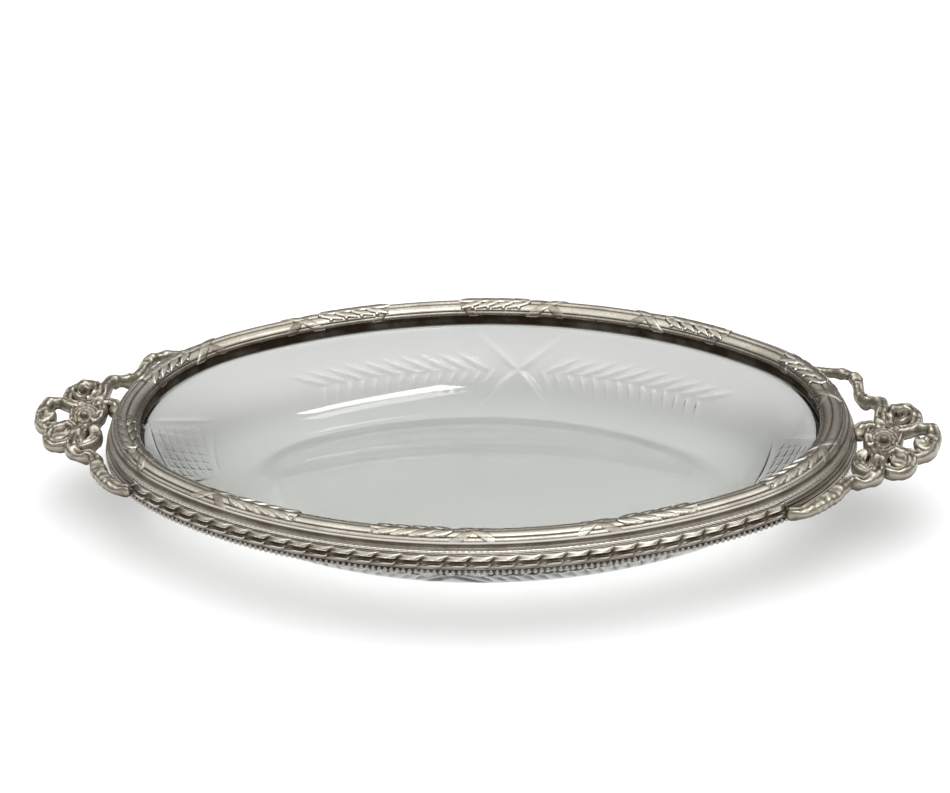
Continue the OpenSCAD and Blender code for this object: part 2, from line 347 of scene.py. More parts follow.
def aged_silver(name, tone, tarnish, polish, gloss, pitted=0.0):
    """Silver plate rubbed bright on its edges, dull on its flats, brown with tarnish in its recesses and
    brown with painted shade in its crevices, gaps and undersides.

    tone, tarnish and polish are colours, gloss is a roughness, and pitted is above 0 on castings.
    """
    material, nodes, links, shader = node_material(name)
    shader.inputs["Metallic"].default_value = 1.0
    wear = nodes.new("ShaderNodeAttribute")
    wear.attribute_name = "wear"
    # Painted shade: ambient occlusion darkens crevices and the gaps between pieces to brown.
    crevice = nodes.new("ShaderNodeAmbientOcclusion")
    crevice.samples = 4
    crevice.inputs["Distance"].default_value = 2.2 * MM
    cloud = noise(nodes, links, 90, 5)
    speck = noise(nodes, links, 900, 6)
    patina = mix(nodes, links, ramp(nodes, links, cloud, (0.35, 0.0), (0.68, 1.0)), tone, tarnish)
    spots = ramp(nodes, links, speck, (0.46, 0.0), (0.62, 1.0))
    mottle = maths(nodes, links, "MULTIPLY", spots, 0.30 + 0.25 * pitted)
    patina = mix(nodes, links, mottle, patina, BROWN)
    dirt_edge = maths(nodes, links, "ADD", wear.outputs["Fac"], maths(nodes, links, "MULTIPLY", speck, 0.22))
    dirt = ramp(nodes, links, dirt_edge, (0.14, 1.0), (0.48, 0.0))
    painted_crevice_shade = ramp(nodes, links, crevice.outputs["AO"], (0.12, 1.0), (0.62, 0.0))
    # This vertex attribute carries tarnish and painted shade laid on by each piece.
    soil_and_shade = nodes.new("ShaderNodeAttribute")
    soil_and_shade.attribute_name = "soil_and_shade"
    uneven = ramp(nodes, links, cloud, (0.3, 0.75), (0.6, 1.0))
    soil_and_shade_mask = maths(nodes, links, "MULTIPLY", soil_and_shade.outputs["Fac"], uneven)
    # Brown mask: tarnish in the hollows, with painted shade from the occlusion and from the vertex
    # attribute.
    grime_and_shade = mix(nodes, links, 1.0, mix(nodes, links, 1.0, dirt, painted_crevice_shade, "LIGHTEN"), soil_and_shade_mask, "LIGHTEN")
    rubbed = ramp(nodes, links, wear.outputs["Fac"], (0.58, 0.0), (0.97, 1.0))
    bright = mix(nodes, links, rubbed, patina, polish)
    links.new(mix(nodes, links, grime_and_shade, bright, BROWN), shader.inputs["Base Color"])
    dull = ramp(nodes, links, cloud, (0.3, gloss), (0.75, gloss + 0.16))
    polished = mix(nodes, links, rubbed, dull, (gloss * 0.7,) * 3)
    links.new(mix(nodes, links, grime_and_shade, polished, (0.62,) * 3), shader.inputs["Roughness"])
    scratches = noise(nodes, links, 60, 8, (1, 1, 14))
    relief = mix(nodes, links, 0.5, speck, scratches)
    if pitted:
        relief = mix(nodes, links, pitted, relief, noise(nodes, links, 520, 5))
    bump(nodes, links, shader, relief, 0.00012 + 0.0011 * pitted, 0.35 + 0.35 * pitted)
    return material


def cut_glass_material():
    """Clear lead glass with a faint grey body, ground a little dull in its cuts. It casts a faint shadow."""
    material, nodes, links, shader = node_material("cut_glass")
    shader.inputs["Transmission Weight"].default_value = 1.0
    shader.inputs["IOR"].default_value = 1.5
    cut = nodes.new("ShaderNodeAttribute")
    cut.attribute_name = "cut"
    grey, pale = (0.735, 0.740, 0.725), (0.755, 0.760, 0.745)
    body = ramp(nodes, links, noise(nodes, links, 25, 2), (0.3, grey), (0.7, pale))
    links.new(mix(nodes, links, cut.outputs["Fac"], body, (0.80, 0.805, 0.79)), shader.inputs["Base Color"])
    links.new(ramp(nodes, links, cut.outputs["Fac"], (0.0, 0.015), (1.0, 0.12)), shader.inputs["Roughness"])
    bump(nodes, links, shader, noise(nodes, links, 40, 1), 0.0004, 0.05)
    path = nodes.new("ShaderNodeLightPath")
    clear = nodes.new("ShaderNodeBsdfTransparent")
    clear.inputs["Color"].default_value = (0.97, 0.98, 0.975, 1)
    choice = nodes.new("ShaderNodeMixShader")
    links.new(path.outputs["Is Shadow Ray"], choice.inputs["Fac"])
    links.new(shader.outputs["BSDF"], choice.inputs[1])
    links.new(clear.outputs["BSDF"], choice.inputs[2])
    links.new(choice.outputs["Shader"], nodes["Material Output"].inputs["Surface"])
    absorption = nodes.new("ShaderNodeVolumeAbsorption")
    absorption.inputs["Color"].default_value = (0.31, 0.33, 0.305, 1)
    absorption.inputs["Density"].default_value = 100
    links.new(absorption.outputs["Volume"], nodes["Material Output"].inputs["Volume"])
    return material


def plaster_material():
    """The chalky grey-brown bedding under the lip of the mount."""
    material, nodes, links, shader = node_material("plaster")
    grain = noise(nodes, links, 700, 6)
    chalk = ramp(nodes, links, grain, (0.3, (0.20, 0.17, 0.14)), (0.7, (0.36, 0.32, 0.27)))
    links.new(chalk, shader.inputs["Base Color"])
    shader.inputs["Roughness"].default_value = 0.9
    bump(nodes, links, shader, grain, 0.0002, 0.6)
    return material


SILVER = aged_silver(
    "aged_silver", (0.38, 0.352, 0.295), (0.25, 0.223, 0.177), (0.66, 0.642, 0.59), 0.24)
PLAIN_SILVER = aged_silver(
    "plain_silver", (0.30, 0.274, 0.222), (0.20, 0.177, 0.138), (0.52, 0.49, 0.43), 0.34)
CAST_SILVER = aged_silver(
    "cast_silver", (0.29, 0.264, 0.212), (0.19, 0.17, 0.134), (0.42, 0.392, 0.33), 0.44, 0.75)
GLASS = cut_glass_material()
PLASTER = plaster_material()

# ---- the glass dish ----
FLOOR_A, FLOOR_B, FLOOR_T = 95.0, 61.5, 4.5
FOOT_OUT = 2.5
RIM_W = 4.3
BELLY = 2.1
HEEL, RECESS = 5.0, 0.5
SKIRT_LEVELS, WALL_LEVELS = 9, 62

# The cutting, on a wall WALL_MM high. Its crosses and stems lie CUT_MIDDLE of the way up.
WALL_MM = 37.0
CUT_MIDDLE, CROSS_REACH = 0.53, 0.47
CUT_SHIFT = 3.5
LATTICE_PITCH = 4.4


def bellied(p, q, t):
    """Levels, each a half length, a half width and a height, from p to q with a bellied middle."""
    s = 4 * np.clip(t, 0, 1) * (1 - t) * BELLY
    return np.asarray(p) + t[:, None] * np.subtract(q, p) + s[:, None] * [1, 1, -1]


def leaf_cut(depth, s, h, start, end, half_width, deep, lean=0.75):
    """Deepens depth by one pointed mitre cut from start to end."""
    along, off = stroke(s, h, start, end)
    inside = np.clip(along, 0, 1)
    width = half_width * np.sin(np.pi * inside**lean) ** 0.8 + 1e-6
    v = np.clip(1 - np.abs(off) / width, 0, 1) * ((along > 0) & (along < 1))
    return np.maximum(depth, deep * v * np.minimum(1, width / half_width))


def laurel_cuts(depth, s, h, middle, way):
    """A laurel branch from the cross at middle towards the end of the oval. way is 1 or -1 along s."""
    stem_h, reach = CUT_MIDDLE * WALL_MM, 96
    depth = leaf_cut(depth, s, h, (middle + way * 3, stem_h), (middle + way * reach, stem_h + 1), 0.8, 0.25)
    for i in range(10):
        foot = middle + way * (13 + 8.2 * i)
        depth = leaf_cut(depth, s, h, (foot, stem_h), (foot + way * 14.5, stem_h + 7.4), 1.9, 0.72)
    for i in range(14):
        foot = middle + way * (11 + 5.9 * i)
        depth = leaf_cut(depth, s, h, (foot, stem_h), (foot + way * 6.4, stem_h - 9.5), 1.35, 0.62)
    return depth


def cross_cuts(depth, s, h, middle):
    """The long cross: four tapered arms that meet about halfway up the wall."""
    for across in (-1, 1):
        for up in (-1, 1):
            start = (middle, CUT_MIDDLE * WALL_MM)
            end = (middle + across * 20, (CUT_MIDDLE + up * CROSS_REACH) * WALL_MM)
            depth = leaf_cut(depth, s, h, start, end, 2.3, 0.85, 0.6)
    return depth


def lattice_cuts(depth, s, h, middle):
    """A lozenge of crossing lines, with a border cut, at one end of the oval."""
    half_s, half_h, mid_h = 34, 0.44 * WALL_MM, 0.52 * WALL_MM
    corners = [(middle - half_s, mid_h), (middle, mid_h + half_h),
               (middle + half_s, mid_h), (middle, mid_h - half_h)]
    for start, end in zip(corners, corners[1:] + corners[:1]):
        depth = leaf_cut(depth, s, h, start, end, 1.5, 0.42)
    inside = np.abs(s - middle) / half_s + np.abs(h - mid_h) / half_h < 0.80
    for slope in (-1, 1):
        off = (h - mid_h) * 0.80 - slope * (s - middle) * 0.60
        near = np.abs(np.mod(off + LATTICE_PITCH / 2, LATTICE_PITCH) - LATTICE_PITCH / 2)
        depth = np.maximum(depth, 0.32 * np.clip(1 - near / 0.62, 0, 1) * inside)
    return depth


def wall_cuts(s, v):
    """Depth of the cutting in the outside of the wall, at stations s and heights v from 0 to 1."""
    s, h = np.meshgrid(s, v * WALL_MM, indexing="ij")
    depth = np.zeros_like(s)
    for middle in (FRONT_MIDDLE + CUT_SHIFT, BACK_MIDDLE - CUT_SHIFT):
        depth = cross_cuts(depth, s, h, middle)
        for way in (-1, 1):
            depth = laurel_cuts(depth, s, h, middle, way)
    for middle in (RIGHT_END, LEFT_END):
        depth = lattice_cuts(depth, s, h, middle)
    return depth * ease(v, 0.0, 0.04) * ease(1 - v, 0.0, 0.03)


def heel(levels, floor_z):
    """The same levels with the corner at the floor turned into one long soft curve."""
    above = levels[:, 2] - floor_z
    soft = (above + np.sqrt(above**2 + HEEL**2)) / 2
    levels[:, 2] = floor_z + soft - soft.min() * (1 - ease(above, 0, 12))
    return levels


def glass_dish():
    """The dish, swept from the middle of its base up the outside, over the rim and down to its floor."""
    around = 1160
    s = stations(around)
    foot = (FLOOR_A + FOOT_OUT, FLOOR_B + FOOT_OUT, 1)
    v = np.linspace(0, 1, WALL_LEVELS)
    spread = np.concatenate([np.linspace(-0.45, -0.02, SKIRT_LEVELS), v])
    wall = heel(bellied(foot, (SEAT_A + RIM_OUTER, SEAT_B + RIM_OUTER, GLASS_H - 2.4), spread), 0)
    skirt, outer = wall[:SKIRT_LEVELS], wall[SKIRT_LEVELS:]
    inner_rim = RIM_OUTER - RIM_W
    mouth = (SEAT_A + inner_rim, SEAT_B + inner_rim, GLASS_H - 0.6)
    inner = heel(bellied((FLOOR_A, FLOOR_B, FLOOR_T), mouth, np.linspace(1, -0.45, 34)), FLOOR_T)
    rim = [(SEAT_A + o, SEAT_B + o, GLASS_H + z) for o, z in (
        (RIM_OUTER, -1.4), (RIM_OUTER, -0.5), (1.05, -0.15), (0.7, 0), (-0.8, 0), (-2.3, 0), (-2.8, -0.15))]
    # The base is raised a little, because one level with the floor rendered dark.
    skirt[:, 2] += RECESS * ease(np.linspace(1, 0, SKIRT_LEVELS), 0.2, 0.9)
    base = [*[skirt[0] - (by, by, 0) for by in (20, 10, 3)], *skirt]
    floor_levels = [inner[-1] - (by, by, 0) for by in (3, 10, 20)]
    levels = np.array([*base, *outer, *rim, *inner, *floor_levels], float)
    xy = oval_at(s, levels[:, 0], levels[:, 1])
    points = np.concatenate([xy, np.broadcast_to(levels[:, 2], xy.shape[:2])[..., None]], axis=2)
    cut_levels = slice(len(base), len(base) + WALL_LEVELS)
    depth = wall_cuts(s, v)
    along = np.gradient(points[:, cut_levels], axis=0)
    up = np.gradient(points[:, cut_levels], axis=1)
    normal = np.cross(along, up)
    normal /= np.linalg.norm(normal, axis=2)[..., None]
    points[:, cut_levels] -= normal * depth[..., None]
    columns = len(levels)
    faces = grid_faces(around, columns, True, False)
    faces += [[j * columns for j in range(around)], [j * columns + columns - 1 for j in range(around)]]
    piece = make_piece("cut_glass_dish", (points.reshape(-1, 3), faces), GLASS, ["glass_dish"],
                       crease=30, wear_rounds=0)
    amount = np.zeros(points.shape[:2])
    amount[:, cut_levels] = np.clip(depth / 0.35, 0, 1)
    cut = piece.data.attributes.new("cut", "FLOAT", "POINT")
    cut.data.foreach_set("value", amount.ravel())


# ---- the mount ----
CROWN_Z, CROWN_A, CROWN_B = GLASS_H + 3.9, 5.2, 3.5
# The reeds' edges on the crown, in degrees from the outside, and how far each reed stands out.
REEDS = (178, 150, 100, 58, 33)
REED_LIFT = (0.20, 0.42, 0.55, 0.42)
LIP_Z = GLASS_H + 0.4
SHEET_T = 0.9
WALL_IN, WALL_OUT = 8.0, 8.9


def crown(phi, lift=0.0):
    """The crown of the moulding at angles phi, in degrees from the outside, moved out by lift."""
    a = np.radians(phi)
    nd, nz = np.cos(a) / CROWN_A, np.sin(a) / CROWN_B
    size = np.hypot(nd, nz)
    return CREST_D + CROWN_A * np.cos(a) + lift * nd / size, CROWN_Z + CROWN_B * np.sin(a) + lift * nz / size


def reed_lift(phi):
    """How far the reeds stand out of the crown at angles phi."""
    lift = np.zeros_like(phi)
    for a, b, high in zip(REEDS, REEDS[1:], REED_LIFT):
        x = np.clip((2 * phi - a - b) / (a - b), -1, 1)
        lift = np.maximum(lift, high * (1 - x * x) ** 0.6)
    return lift


def reeded_rim():
    """The top moulding: four reeds of unequal width over the crown, with the lip on the glass."""
    s = stations(640)
    phi = np.concatenate([np.linspace(a, b, 15)[:-1] for a, b in zip(REEDS, REEDS[1:])] + [[REEDS[-1]]])
    d, z = crown(phi, reed_lift(phi))
    inner_d, inner_z = crown(np.linspace(40, 176, 12), -SHEET_T)
    lip = CREST_D - CROWN_A
    under_lip = [RIM_OUTER, lip + 0.3, lip, lip - 0.05]
    d = np.concatenate([under_lip, d, [8.15, 7.6], inner_d, [lip + SHEET_T, RIM_OUTER]])
    z = np.concatenate([[LIP_Z, LIP_Z, LIP_Z + 0.3, 33.4], z, [36.4, 36.2], inner_z, [LIP_Z + 0.8] * 2])
    # Painted shade: the inner wall under the lip, beside the glass, is darkened fully. The grooves between
    # the reeds are darkened too.
    grooves = sum(np.exp(-((phi - edge) / 2.6) ** 2) for edge in REEDS[1:4])
    soil_and_shade = np.where((d < lip + 0.3) & (z < CROWN_Z + 0.5), 1.0, 0.0)
    crest = slice(len(under_lip), len(under_lip) + len(phi))
    soil_and_shade[crest] += 0.8 * grooves
    make_piece("reeded_rim", swept(place(s, d, z), True), SILVER, ["rim_moulding"],
               wear_rounds=6, soil_and_shade=np.tile(soil_and_shade, len(s)))


def raise_leaf(h, s, w, start, end, half_width, high):
    """A laurel leaf with a midrib, laid on the height field h."""
    along, off = stroke(s, w, start, end)
    inside = np.clip(along, 0.0, 1.0)
    width = half_width * np.sin(np.pi * inside**0.8) ** 0.75 + 1e-6
    x = np.clip(np.abs(off) / width, 0, 1)
    body = high * np.sqrt(1 - 0.95 * x * x) - 0.14 * np.exp(-((off / 0.22) ** 2))
    return np.where((along > 0) & (along < 1) & (np.abs(off) < width), np.maximum(h, body), h)


def raise_ribbon(h, s, w, start, end, half_width, high):
    """A soft ribbon, laid on the height field h."""
    along, off = stroke(s, w, start, end)
    x = np.abs(off) / half_width
    body = high * (1 - 0.7 * x**4) - 0.15
    return np.where((x < 1) & (along > -0.1) & (along < 1.1), np.maximum(h, body), h)


def raise_berry(h, s, w, at, radius):
    """A round berry, laid on the height field h."""
    r2 = (s - at[0]) ** 2 + (w - at[1]) ** 2
    return np.where(r2 < radius**2, np.maximum(h, 0.2 + 0.8 * np.sqrt(np.clip(radius**2 - r2, 0, None))), h)


TIE_COUNT = 10
TIE_PHI = np.linspace(176, 36, 62)
TIE_FLOOR = -0.35


def tie_height(s, w, width):
    """The relief of one tie: crossed ribbons at its start, then a laurel spray and a last wrap."""
    h = np.full_like(s, TIE_FLOOR)
    middle = 0.60 * width
    for i in range(4):
        foot = -7.5 + 6.3 * i
        for side, spread in ((-1, 4.4), (1, 3.3)):
            tip = (foot + 9.6, middle + side * spread)
            h = raise_leaf(h, s, w, (foot, middle + 0.3 * side), tip, 1.6, 0.95)
        h = raise_leaf(h, s, w, (foot + 3.4, middle), (foot + 11.6, middle + 0.2), 1.3, 0.95)
        h = raise_berry(h, s, w, (foot + 4.6, middle - 3.9), 0.9)
    for at, lean, high in ((-14.5, 6.4, 0.5), (-14.5, -6.4, 0.7), (20.0, 4.5, 0.55)):
        h = raise_ribbon(h, s, w, (at - lean, 0), (at + lean, width), 2.0, high)
    return softened(h, 2)


def softened(h, rounds):
    """The height field with its edges worn round."""
    for _ in range(rounds):
        padded = np.pad(h, 1, mode="edge")
        h = (padded[:-2, 1:-1] + padded[2:, 1:-1] + padded[1:-1, :-2] + padded[1:-1, 2:] + 2 * h) / 6
    return h


def tie_half_length():
    """Half the length of a tie, from the first one, which lies across the middle of the front."""
    low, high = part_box("ribbon_tie_1")
    return (high.x - low.x) / MM / 2 - 0.2


def ribbon_tie(i):
    """Tie i of the moulding. Neighbours face each other, so that like ends meet across the plain reeds."""
    centre = FRONT_MIDDLE + i * PERIMETER / TIE_COUNT
    half = tie_half_length()
    local = np.linspace(-half, half, 176)
    d0, z0 = crown(TIE_PHI, reed_lift(TIE_PHI) * 0.6)
    w0 = np.concatenate([[0], np.cumsum(np.hypot(np.diff(d0), np.diff(z0)))])
    facing = 1 if i % 2 else -1
    s, w = np.meshgrid(local * facing, w0, indexing="ij")
    h = tie_height(s, w, w0[-1])
    d, z = offset(d0, z0, h)
    bed_d, bed_z = (x[::-6] for x in offset(d0, z0, TIE_FLOOR - 0.3))
    bed = (len(local), len(bed_d))
    d = np.concatenate([d, np.broadcast_to(bed_d, bed)], axis=1)
    z = np.concatenate([z, np.broadcast_to(bed_z, bed)], axis=1)
    soil_and_shade = np.concatenate([ease(-h, -0.62, 0.05), np.zeros(bed)], axis=1)
    make_piece(f"laurel_tie_{i + 1}", swept(place(centre + local, d, z), False), SILVER,
               [f"ribbon_tie_{i + 1}"], wear_rounds=4, soil_and_shade=soil_and_shade)


def cove_wall():
    """The wall under the moulding: a cove with a band of painted shade under the crown, above a thin bright
    fillet, then a plain back.
    """
    s = stations(480)
    top = CROWN_Z + 1.5
    cove = spline([
        (8.5, top), (8.3, top - 0.5), (8.35, top - 1.05), (8.6, top - 1.45), (9.15, top - 1.65)], 4)
    outline = np.vstack([[(WALL_IN, BAND_FOOT), (WALL_IN, top)], cove,
                         [(9.45, top - 1.72), (9.5, top - 1.9), (9.3, top - 2.05), (WALL_OUT, top - 2.1),
                          (WALL_OUT, BAND_FOOT)]])
    shape = swept(place(s, outline[:, 0], outline[:, 1]), True)
    # Painted shade: a brown band just under the crown.
    soil_and_shade = np.tile(0.55 * np.exp(-(((outline[:, 1] - top + 0.6) / 0.75) ** 2)), len(s))
    make_piece("cove_wall", shape, PLAIN_SILVER, ["frame_wall"], wear_rounds=3, soil_and_shade=soil_and_shade)


NICKS, STEPS_A_NICK = 344, 7
CORD_R, CORD_Z = 0.52, 33.75


def milled_wire():
    """A fine wire with slanted nicks, like a twisted cord."""
    s = stations(NICKS * STEPS_A_NICK)
    a = circle(10)
    twist = 2 * math.pi * s[:, None] / (PERIMETER / NICKS) + a
    r = CORD_R + 0.13 * np.abs(np.sin(twist / 2)) ** 0.7
    d = WALL_OUT + 0.3 + r * np.cos(a)
    z = CORD_Z + r * np.sin(a)
    make_piece("milled_wire_cord", swept(place(s, d, z), True), SILVER, ["milled_wire"],
               wear_rounds=4)


# The cabled bands run BAND_OVERRUN past their arcs, towards the bows.
BAND_TOP, BAND_OUT = 33.0, 11.4
BAND_OVERRUN = 13.0
CABLE_PITCH, CABLE_H = 7.9, 5.0


def cable_lift(s, v):
    """Relief and painted shade of the twisted band: strands that lap over each other along S-shaped slits.
    """
    swing = CABLE_PITCH * (0.62 * v + 0.80 * ease(v, 0.34, 0.60))
    slope = np.gradient(swing, axis=1) / np.gradient(v, axis=1)
    phase = np.mod((s - swing) / CABLE_PITCH, 1)
    steep = np.hypot(1 / CABLE_PITCH, slope / CABLE_PITCH / CABLE_H)
    before, after = phase / steep, (1 - phase) / steep
    lip = np.sqrt(1 - (1 - np.clip(after / 1.7, 0, 1)) ** 2)
    tuck = np.sin(0.5 * np.pi * np.clip(before / 3.8, 0, 1)) ** 1.2
    edge = np.sin(np.pi * np.clip(v, 0.02, 0.98)) ** 0.5
    open_slit = ease(v, 0.10, 0.32) * ease(1 - v, 0.06, 0.34)
    # Painted shade in the slits and along the band's edges.
    slit = np.exp(-((np.minimum(before / 1.9, after * 1.5) / 0.42) ** 2)) * open_slit
    rims = ease(-v, -0.10, -0.01) + ease(v, 0.93, 1.0)
    lobe = 1 - (1 - lip * (0.2 + 0.8 * tuck)) * (0.45 + 0.55 * open_slit)
    return 1.75 * lobe * edge - 0.5, np.clip(1.2 * slit + 0.6 * rims, 0, 1)


def cable_band(node, k):
    """The cabled band on arc k of the oval."""
    first = float(ARC_END[k] - ARC_LEN[k]) - BAND_OVERRUN
    length = float(ARC_LEN[k]) + 2 * BAND_OVERRUN
    s = first + np.linspace(0, length, 1000)
    v0 = np.linspace(0, 1, 44)
    d0 = BAND_OUT + (WALL_OUT + 0.75 - BAND_OUT) * v0 + 0.45 * np.sin(np.pi * v0)
    z0 = BAND_FOOT + 0.55 + (BAND_TOP - BAND_FOOT - 0.6) * v0
    ss, v = np.meshgrid(s - first, v0, indexing="ij")
    taper = ease(ss, 0, 3) * ease(length - ss, 0, 3)
    lift, slit = cable_lift(ss, v)
    d, z = offset(d0[::-1], z0[::-1], lift[:, ::-1] * (0.25 + 0.75 * taper))
    back_d = [BAND_OUT, BAND_OUT - 0.3, WALL_OUT, WALL_OUT]
    back_z = [BAND_FOOT + 0.3, BAND_FOOT, BAND_FOOT, BAND_TOP + 0.2]
    back = (len(s), len(back_d))
    d = np.concatenate([d, np.broadcast_to(back_d, back)], axis=1)
    z = np.concatenate([z, np.broadcast_to(back_z, back)], axis=1)
    # Painted shade in the slits, along the edges and on the hidden back.
    soil_and_shade = np.concatenate([slit[:, ::-1], np.full(back, 0.8)], axis=1)
    shape = swept(place(s, d, z), False)
    make_piece(f"{node}_relief", shape, SILVER, [node], wear_rounds=7, soil_and_shade=soil_and_shade)


def end_band(node, k):
    """The stepped band behind a bow, on arc k of the oval."""
    first = float(ARC_END[k] - ARC_LEN[k]) + BAND_OVERRUN + 0.2
    s = np.linspace(first, float(ARC_END[k]) - BAND_OVERRUN - 0.2, 150)
    outline = np.array([
        (WALL_OUT, BAND_FOOT), (11.3, BAND_FOOT), (11.45, 28.15), (11.45, 28.8), (11.2, 29.05),
        (10.95, 29.1), (10.95, 29.6), (11.1, 29.9), (11.1, 30.5), (10.9, 30.8), (10.6, 30.85),
        (10.55, 31.4), (10.6, 31.6), (10.4, 31.9), (10.1, 31.95), (10.05, 32.5), (9.8, 32.9),
        (9.3, 33.15), (WALL_OUT, 33.2),
    ])
    shape = swept(place(s, outline[:, 0], outline[:, 1]), False)
    # Faces that look down get painted shade.
    make_piece(f"{node}_steps", shape, PLAIN_SILVER, [node], wear_rounds=3, under=0.8)


BEADS = 342
BEAD_D, BEAD_Z = 10.95, 27.0
BEAD_HALF_LENGTH, BEAD_R = 0.86, 0.98


def bead(centre):
    """One bead, round a line along the oval at this station."""
    p = place(np.array([centre - 0.5, centre, centre + 0.5]), BEAD_D, BEAD_Z)[:, 0]
    along = (p[2] - p[0]) / np.linalg.norm(p[2] - p[0])
    out = np.array([along[1], -along[0], 0])
    turn = circle(10)
    hoop = np.outer(np.cos(turn), out) + np.outer(np.sin(turn), (0, 0, 1))
    polar = np.linspace(0.08, math.pi - 0.08, 7)
    rings = [p[1] - along * BEAD_HALF_LENGTH * math.cos(q) + BEAD_R * math.sin(q) * hoop for q in polar]
    return swept(np.array(rings), False)


def bead_row():
    """A row of round beads on a thin wire under the bands."""
    a = circle(8)
    wire = swept(place(stations(360), 10.6 + 0.62 * np.cos(a), 27.1 + 0.7 * np.sin(a)), True)
    shape = joined([wire, *(bead(i * PERIMETER / BEADS) for i in range(BEADS))])
    # Painted shade on the wire in the gaps between the beads. The beads get a lighter brown tint.
    soil_and_shade = np.where(np.arange(len(shape[0])) < len(wire[0]), 1.0, 0.46)
    make_piece("bead_row", shape, SILVER, ["bead_wire"], wear_rounds=3, crease=60, soil_and_shade=soil_and_shade)


# ---- the handles ----
RIB_PITCH = 2.7


def ribbon(rows, seed, tilt=0.0, closed=False, ridges=2, ribs=None):
    """A soft cast ribbon through rows of x, y, z, width and thickness, ribbed between two lengths."""
    curve = closed_spline(rows, 12) if closed else spline(rows, 12)
    path, width, thick = curve[:, :3], curve[:, 3], curve[:, 4]
    step = np.roll(path, -1, 0) - np.roll(path, 1, 0) if closed else np.gradient(path, axis=0)
    tangent = step / np.linalg.norm(step, axis=1)[:, None]
    length = np.concatenate([[0], np.cumsum(np.linalg.norm(np.diff(path, axis=0), axis=1))])
    side = np.cross(tangent, (0, 0, 1))
    side /= np.linalg.norm(side, axis=1)[:, None]
    up = np.cross(side, tangent)
    lean = np.radians(tilt + 7 * wobble(length, seed, 17, 11))
    side, up = (side * np.cos(lean)[:, None] + up * np.sin(lean)[:, None],
                up * np.cos(lean)[:, None] - side * np.sin(lean)[:, None])
    width = width * (1.06 + 0.09 * wobble(length, seed + 1, 11, 7.5))
    thick = thick * (1.02 + 0.10 * wobble(length, seed + 2, 10, 6.3))
    ribbed = np.zeros_like(length)
    if ribs:
        ribbed = ease(length, ribs[0], ribs[0] + 1) * ease(-length, -ribs[1], 1 - ribs[1])
        thick = thick * (1 + 0.05 * ribbed * np.cos(2 * math.pi * length / RIB_PITCH))
        width = width * (1 + 0.03 * ribbed * np.cos(2 * math.pi * length / RIB_PITCH))
    a = circle(28)
    x = np.sign(np.cos(a)) * np.abs(np.cos(a)) ** 0.68
    y = np.sign(np.sin(a)) * np.abs(np.sin(a)) ** 0.62
    roll = 0.5 + 0.5 * wobble(length, seed + 3, 15, 9)[:, None]
    groove = 0.24 * roll * np.cos(ridges * math.pi * (x[None, :] + 0.25 * (roll - 0.5)))
    groove *= 1 - 0.8 * ribbed[:, None]
    pits = wobble(length[:, None] + 1.3 * x[None, :], seed + 6, 3.9, 2.7)
    dent = (0.18 * wobble(length, seed + 4, 8.1, 5.7)[:, None] + 0.07 * pits) * (1 - np.abs(x[None, :]) ** 3)
    y = y[None, :] * (1 - groove + dent)
    if not closed:
        end = np.minimum(length, length[-1] - length)
        cap = np.sqrt(np.clip(1 - (1 - np.clip(end / 1.8, 0, 1)) ** 2, 0.02, 1))
        width, thick = width * cap, thick * (0.35 + 0.65 * cap)
    points = (path[:, None] + side[:, None] * (x[None, :] * width[:, None] / 2)[..., None]
              + up[:, None] * (y * thick[:, None] / 2)[..., None])
    return swept(points, closed)


def ball(centre, radii, bumps, waves):
    """A modelled lump: an ellipsoid with soft pleats that run from top to bottom."""
    polar = np.linspace(0.02, math.pi - 0.02, 30)[:, None]
    turn = circle(48)[None, :]
    pleats = bumps * np.cos(waves * turn + 2.2 * polar) * np.sin(polar)
    swell = 1 + pleats + bumps * np.cos(3 * turn - 2 * polar)
    x = radii[0] * swell * np.sin(polar) * np.cos(turn)
    y = radii[1] * swell * np.sin(polar) * np.sin(turn)
    z = radii[2] * np.cos(polar) * np.ones_like(turn)
    points = np.stack([x, y, z], axis=2) + np.asarray(centre)
    return swept(points, False)


ROSETTE_SCALE, ROSETTE_TILT = 1.2, 32


def rosette(centre):
    """The ringed rosette on the knot: a dome of soft pleated rings round a button, tipped to the front."""
    r = np.linspace(0.05, 5.0, 46)
    turn = circle(96)
    rr, tt = np.meshgrid(r, turn, indexing="ij")
    dome = 3.4 * np.sqrt(np.clip(1 - (rr / 5.4) ** 2, 0, 1)) - 1.1
    swirl = rr * (1 + 0.16 * np.sin(tt + 0.5)) - 1.2
    rings = 0.26 * np.abs(np.sin(math.pi * swirl / 1.5)) ** 0.8 * ease(rr, 1.1, 1.8)
    moat = 0.7 * np.exp(-((rr - 1.6) / 0.9) ** 2) * ease(-np.sin(tt), 0, 1)
    button = 0.5 * np.sqrt(np.clip(1 - (rr / 1.2) ** 2, 0, 1)) - moat
    pleats = 0.09 * np.cos(11 * tt + 1.5 * rr) * ease(rr, 1.8, 3.0)
    edge = 1 + 0.03 * np.cos(7 * tt) * ease(rr, 3, 5)
    top = np.stack([rr * edge * np.cos(tt), rr * edge * np.sin(tt), dome + rings + button + pleats], axis=2)
    under = top[::-9] * [0.97, 0.97, 0] + [0, 0, -2.6]
    lean = math.radians(ROSETTE_TILT)
    tipped = np.array([[1, 0, 0], [0, math.cos(lean), math.sin(lean)], [0, -math.sin(lean), math.cos(lean)]])
    return swept(ROSETTE_SCALE * np.concatenate([top, under]) @ tipped + np.asarray(centre), False)


